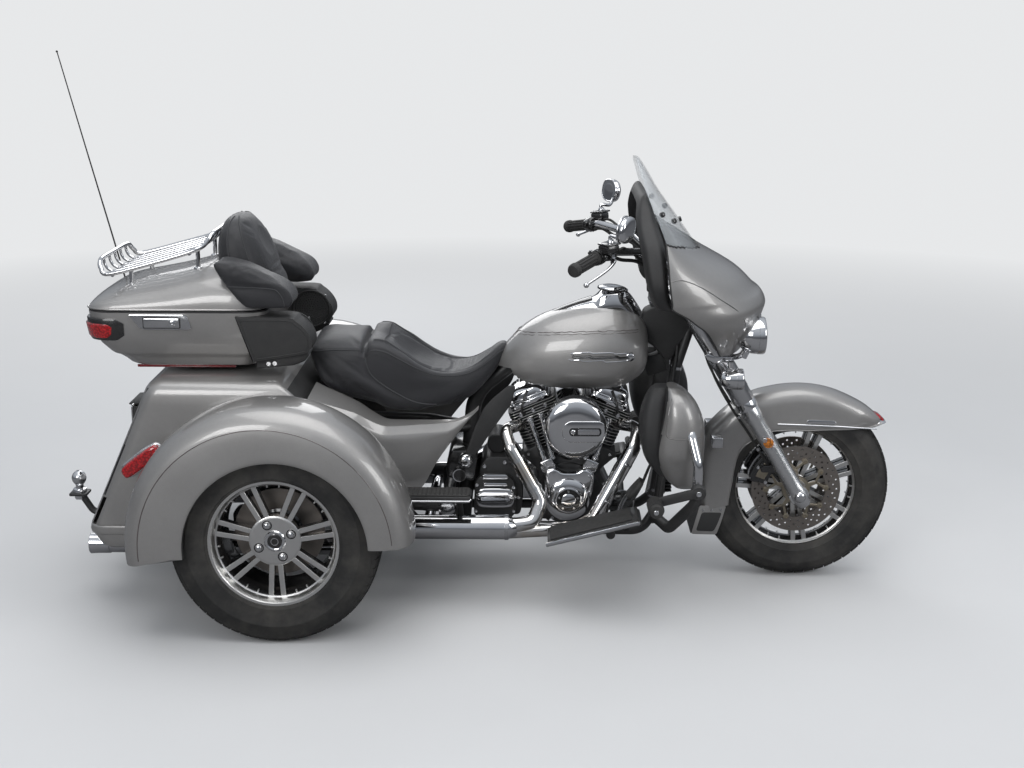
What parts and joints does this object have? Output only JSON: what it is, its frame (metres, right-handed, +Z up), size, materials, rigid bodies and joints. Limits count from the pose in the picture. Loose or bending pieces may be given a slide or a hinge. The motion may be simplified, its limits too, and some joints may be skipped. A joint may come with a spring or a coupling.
{
  "type": "touring trike",
  "caption": "Full-size touring trike: steered front wheel, driven rear axle, V-twin engine, rear trunk with door and top case with hinged lid.",
  "frame": {"origin": "middle of the bounding box in X and Y, on the ground under the tyres", "axes": "+X forward, +Y to the rider's left, +Z up"},
  "size_m": [2.8444, 1.388, 1.7566],
  "materials": {
    "paint": "metallic gloss",
    "chrome": "polished",
    "black_metal": "satin black",
    "fork_alloy": "satin",
    "rim_alloy": "machined",
    "tyre": "matte",
    "seat_leather": "grained",
    "black_plastic": "textured",
    "lamp_red": "clear gloss",
    "clear_screen": "clear"
  },
  "bodies": {
    "chassis": {"frame": "black_metal", "rear_axle": "black_metal", "engine_case": "black_metal", "cylinders": "black_metal", "rocker_covers": "chrome", "cam_cover": "chrome", "air_cleaner": "chrome", "gearbox": "black_metal", "primary_cover": "black_metal", "exhaust_pipes": "chrome", "mufflers": "chrome", "fuel_tank": "paint", "tank_console": "chrome", "seat": "seat_leather", "side_covers": "paint", "trunk_body": "paint", "rear_fender_left": "paint", "rear_fender_right": "paint", "rear_bumper": "paint", "hitch": "chrome", "topcase_box": "paint", "speaker_pods": "black_plastic", "topcase_lamps": "lamp_red", "rear_signals": "lamp_red", "antenna": "black_metal", "leg_shields": "paint", "engine_guard": "chrome", "highway_pegs": "black_metal", "floorboards": "black_plastic", "passenger_boards": "black_plastic", "foot_controls": "black_metal", "horn": "chrome"},
    "steering": {"fork": "fork_alloy", "front_calipers": "fork_alloy", "handlebar": "chrome", "hand_controls": "black_plastic", "mirrors": "chrome", "fairing_outer": "paint", "fairing_inner": "black_plastic", "windshield": "clear_screen", "headlamp": "chrome", "passing_lamps": "chrome", "front_signals": "chrome", "front_fender": "paint"},
    "front_wheel": {"front_rim": "rim_alloy", "front_tyre": "tyre"},
    "rear_wheel_left": {"rear_rim_left": "rim_alloy", "rear_tyre_left": "tyre"},
    "rear_wheel_right": {"rear_rim_right": "rim_alloy", "rear_tyre_right": "tyre"},
    "case_lid": {"topcase_lid": "paint", "luggage_rack": "chrome", "backrest": "seat_leather"},
    "trunk_door": {"trunk_door": "paint", "plate_holder": "black_plastic"}
  },
  "joints": [
    {"name": "steering", "type": "hinge", "parent": "chassis", "child": "steering", "pos_m": [0.76326, 0, 0.9], "axis": [-0.4384, 0, 0.8988], "range_deg": [-35, 35]},
    {"name": "front_wheel", "type": "hinge", "parent": "steering", "child": "front_wheel", "pos_m": [1.10222, 0, 0.32], "axis": [0, 1, 0], "continuous": true},
    {"name": "rear_wheel_left", "type": "hinge", "parent": "chassis", "child": "rear_wheel_left", "pos_m": [-0.57178, 0.54, 0.324], "axis": [0, 1, 0], "continuous": true},
    {"name": "rear_wheel_right", "type": "hinge", "parent": "chassis", "child": "rear_wheel_right", "pos_m": [-0.57178, -0.54, 0.324], "axis": [0, 1, 0], "continuous": true},
    {"name": "case_lid", "type": "hinge", "parent": "chassis", "child": "case_lid", "pos_m": [-0.92178, 0.292, 0.97], "axis": [-1, 0, 0], "range_deg": [0, 75]},
    {"name": "trunk_door", "type": "hinge", "parent": "chassis", "child": "trunk_door", "pos_m": [-1.1613, 0, 0.417], "axis": [0, -1, 0], "range_deg": [0, 95]}
  ]
}
